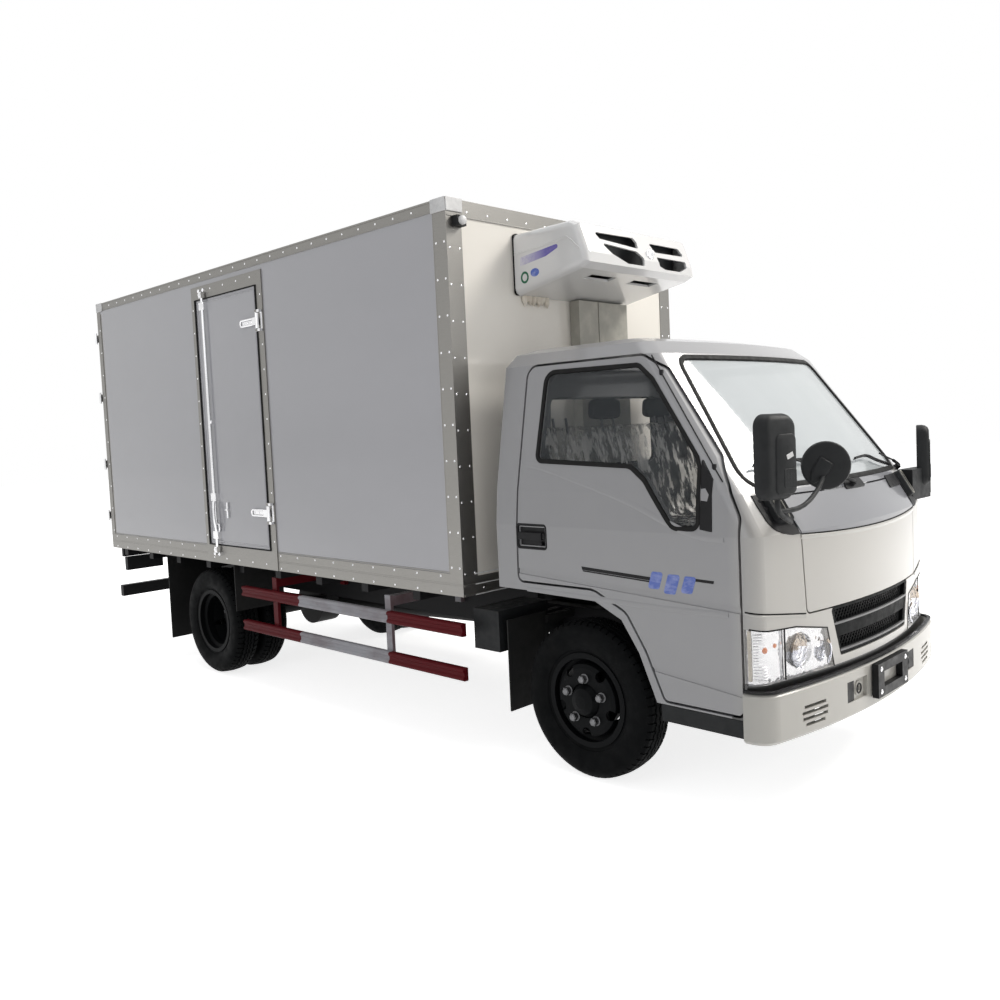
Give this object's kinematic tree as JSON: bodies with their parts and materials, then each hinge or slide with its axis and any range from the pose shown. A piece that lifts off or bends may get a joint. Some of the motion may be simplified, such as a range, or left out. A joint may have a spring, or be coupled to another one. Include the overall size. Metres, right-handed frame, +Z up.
{
  "type": "refrigerated box truck",
  "caption": "Light cab-over truck with an insulated load box, twin rear wheels, a side door, rear doors and a roof-height cooling unit above the tilting cab.",
  "frame": {"origin": "ground point under the middle of the overall box, between the wheels", "axes": "+X to the front of the truck, +Y to its left, +Z up"},
  "size_m": [6.0773, 2.0213, 2.791],
  "materials": {
    "frame_black": "satin black chassis paint",
    "cab_silver": "silver grey metallic paint",
    "bumper_white": "off-white paint",
    "black_plastic": "matte black",
    "grille_grey": "dark grey",
    "clear_glass": "clear, lightly tinted",
    "lamp_lens": "clear moulded lens",
    "lamp_silver": "bright reflector",
    "interior_grey": "grain grey",
    "seat_cloth": "grey cloth under film covers",
    "tyre_rubber": "black rubber",
    "rim_black": "black wheel paint",
    "cast_grey": "dark casting",
    "spring_steel": "black painted spring steel",
    "box_white": "gloss white gel-coated sandwich panel",
    "aluminium_trim": "brushed aluminium edge trim",
    "steel_bright": "bright steel",
    "guard_red": "red and silver painted steel",
    "unit_white": "gloss white",
    "core_dark": "dark finned core",
    "duct_grey": "dark grey",
    "lamp_red": "red lamp"
  },
  "bodies": {
    "chassis": {"ladder_frame": "frame_black", "axles": "cast_grey", "leaf_springs": "spring_steel", "engine_block": "cast_grey", "fuel_tank": "frame_black", "battery_box": "frame_black", "front_bumper": "bumper_white", "bumper_pad": "black_plastic", "mud_flaps": "black_plastic", "side_guards": "guard_red", "rear_underrun_bar": "frame_black", "rear_and_marker_lamps": "lamp_red", "box_floor": "box_white", "box_front_wall": "box_white", "box_right_wall": "box_white", "box_left_wall": "box_white", "box_roof": "box_white", "box_trim": "aluminium_trim", "door_frames": "aluminium_trim", "condenser_unit": "unit_white", "condenser_core": "core_dark", "evaporator_unit": "unit_white", "refrigerant_duct": "duct_grey"},
    "side_door": {"side_door_panel": "box_white", "side_door_hardware": "steel_bright"},
    "rear_door_left": {"rear_door_left_panel": "box_white", "rear_door_left_hardware": "steel_bright"},
    "rear_door_right": {"rear_door_right_panel": "box_white", "rear_door_right_hardware": "steel_bright"},
    "cab": {"cab_roof": "cab_silver", "cab_back_panel": "cab_silver", "cab_front_frame": "cab_silver", "cab_glass": "clear_glass", "grille": "grille_grey", "headlamp_lenses": "lamp_lens", "headlamp_units": "lamp_silver", "cab_floor": "interior_grey", "dashboard": "interior_grey", "seats": "seat_cloth", "steering_wheel": "black_plastic", "mirrors": "black_plastic", "cab_trim": "black_plastic"},
    "front_lid": {"front_lid": "cab_silver"},
    "door_right": {"door_right_panel": "cab_silver", "door_right_glass": "clear_glass"},
    "door_left": {"door_left_panel": "cab_silver", "door_left_glass": "clear_glass"},
    "knuckle_right": {"knuckle_right": "cast_grey"},
    "knuckle_left": {"knuckle_left": "cast_grey"},
    "wheel_front_right": {"front_rim_right": "rim_black", "front_tyre_right": "tyre_rubber"},
    "wheel_front_left": {"front_rim_left": "rim_black", "front_tyre_left": "tyre_rubber"},
    "wheel_rear_right": {"rear_rims_right": "rim_black", "rear_tyres_right": "tyre_rubber"},
    "wheel_rear_left": {"rear_rims_left": "rim_black", "rear_tyres_left": "tyre_rubber"}
  },
  "joints": [
    {"name": "steer_left", "type": "hinge", "parent": "chassis", "child": "knuckle_left", "pos_m": [1.91, 0.59, 0.372], "axis": [0, 0, 1], "range_deg": [-35, 35]},
    {"name": "steer_right", "type": "hinge", "parent": "chassis", "child": "knuckle_right", "pos_m": [1.91, -0.59, 0.372], "axis": [0, 0, 1], "range_deg": [-35, 35]},
    {"name": "spin_front_left", "type": "hinge", "parent": "knuckle_left", "child": "wheel_front_left", "pos_m": [1.91, 0.722, 0.372], "axis": [0, 1, 0], "continuous": true},
    {"name": "spin_front_right", "type": "hinge", "parent": "knuckle_right", "child": "wheel_front_right", "pos_m": [1.91, -0.722, 0.372], "axis": [0, 1, 0], "continuous": true},
    {"name": "spin_rear_left", "type": "hinge", "parent": "chassis", "child": "wheel_rear_left", "pos_m": [-1.45, 0.712, 0.372], "axis": [0, 1, 0], "continuous": true},
    {"name": "spin_rear_right", "type": "hinge", "parent": "chassis", "child": "wheel_rear_right", "pos_m": [-1.45, -0.712, 0.372], "axis": [0, 1, 0], "continuous": true},
    {"name": "cab_tilt", "type": "hinge", "parent": "chassis", "child": "cab", "pos_m": [2.962, 0, 0.598], "axis": [0, 1, 0], "range_deg": [0, 45]},
    {"name": "front_lid_lift", "type": "hinge", "parent": "cab", "child": "front_lid", "pos_m": [2.876, 0, 1.332], "axis": [0, -1, 0], "range_deg": [0, 50]},
    {"name": "door_right_swing", "type": "hinge", "parent": "cab", "child": "door_right", "pos_m": [2.772, -0.852, 1.2], "axis": [0, 0, 1], "range_deg": [0, 70]},
    {"name": "door_left_swing", "type": "hinge", "parent": "cab", "child": "door_left", "pos_m": [2.772, 0.852, 1.2], "axis": [0, 0, -1], "range_deg": [0, 70]},
    {"name": "side_door_swing", "type": "hinge", "parent": "chassis", "child": "side_door", "pos_m": [-0.505, -0.966, 1.78], "axis": [0, 0, 1], "range_deg": [0, 178]},
    {"name": "rear_door_left_swing", "type": "hinge", "parent": "chassis", "child": "rear_door_left", "pos_m": [-3.017, 0.952, 1.8], "axis": [0, 0, -1], "range_deg": [0, 265]},
    {"name": "rear_door_right_swing", "type": "hinge", "parent": "chassis", "child": "rear_door_right", "pos_m": [-3.017, -0.952, 1.8], "axis": [0, 0, 1], "range_deg": [0, 265]}
  ],
  "couplings": [
    {"joint": "steer_right", "follows": "steer_left", "ratio": 1}
  ]
}
